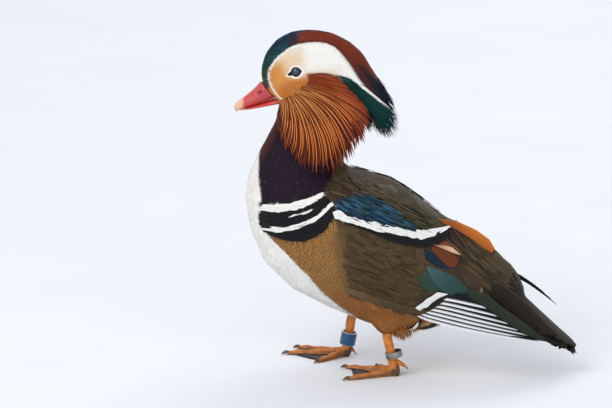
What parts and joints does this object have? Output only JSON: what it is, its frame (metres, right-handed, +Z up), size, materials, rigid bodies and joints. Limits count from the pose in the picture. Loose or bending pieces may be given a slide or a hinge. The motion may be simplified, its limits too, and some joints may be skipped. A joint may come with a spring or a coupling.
{
  "type": "mandarin duck",
  "caption": "Life-size mandarin drake standing on both feet, head raised, crest and ruff full, wings folded with sail feathers up, a ring on each leg.",
  "frame": {"origin": "on the floor under the soles, at the middle of the bird's length and width", "axes": "+Z up, -Y the way the bird faces, +X its left side"},
  "size_m": [0.116, 0.3044, 0.304],
  "materials": {
    "white_feathers": "soft matt feathers",
    "maroon_feathers": "matt feathers with a purple sheen",
    "copper_feathers": "long narrow feathers, satin",
    "green_feathers": "long narrow feathers, glossy green",
    "flank_feathers": "soft feathers, finely barred",
    "wing_feathers": "smooth feathers, satin",
    "scapular_feathers": "smooth feathers with a blue sheen",
    "sail_feathers": "stiff smooth feathers",
    "black_feathers": "stiff feathers, green gloss",
    "bill": "smooth horny skin with a pale nail",
    "eye": "dark and wet",
    "leg_skin": "small scales, satin",
    "web_skin": "thin grained skin",
    "claw": "smooth horn",
    "metal_ring": "dull, worn",
    "plastic_ring": "smooth"
  },
  "bodies": {
    "root": {"bill_lower": "bill", "bill_upper": "bill", "breast": "maroon_feathers", "claw_left_hind": "claw", "claw_left_inner": "claw", "claw_left_middle": "claw", "claw_left_outer": "claw", "claw_right_hind": "claw", "claw_right_inner": "claw", "claw_right_middle": "claw", "claw_right_outer": "claw", "crest": "copper_feathers", "eye_left": "eye", "eye_right": "eye", "flank_left": "flank_feathers", "flank_right": "flank_feathers", "head": "white_feathers", "nape_plume": "green_feathers", "neck": "maroon_feathers", "primaries_left": "black_feathers", "primaries_right": "black_feathers", "ring_left": "metal_ring", "ring_right": "plastic_ring", "ruff_left": "copper_feathers", "ruff_right": "copper_feathers", "sail_left": "sail_feathers", "sail_right": "sail_feathers", "scapulars_left": "scapular_feathers", "scapulars_right": "scapular_feathers", "shank_left": "leg_skin", "shank_right": "leg_skin", "tail": "black_feathers", "tertials_left": "wing_feathers", "tertials_right": "wing_feathers", "thigh_left": "flank_feathers", "thigh_right": "flank_feathers", "toe_left_hind": "leg_skin", "toe_left_inner": "leg_skin", "toe_left_middle": "leg_skin", "toe_left_outer": "leg_skin", "toe_right_hind": "leg_skin", "toe_right_inner": "leg_skin", "toe_right_middle": "leg_skin", "toe_right_outer": "leg_skin", "trunk": "white_feathers", "web_left_inner": "web_skin", "web_left_outer": "web_skin", "web_right_inner": "web_skin", "web_right_outer": "web_skin", "wing_left": "wing_feathers", "wing_right": "wing_feathers"}
  },
  "joints": []
}
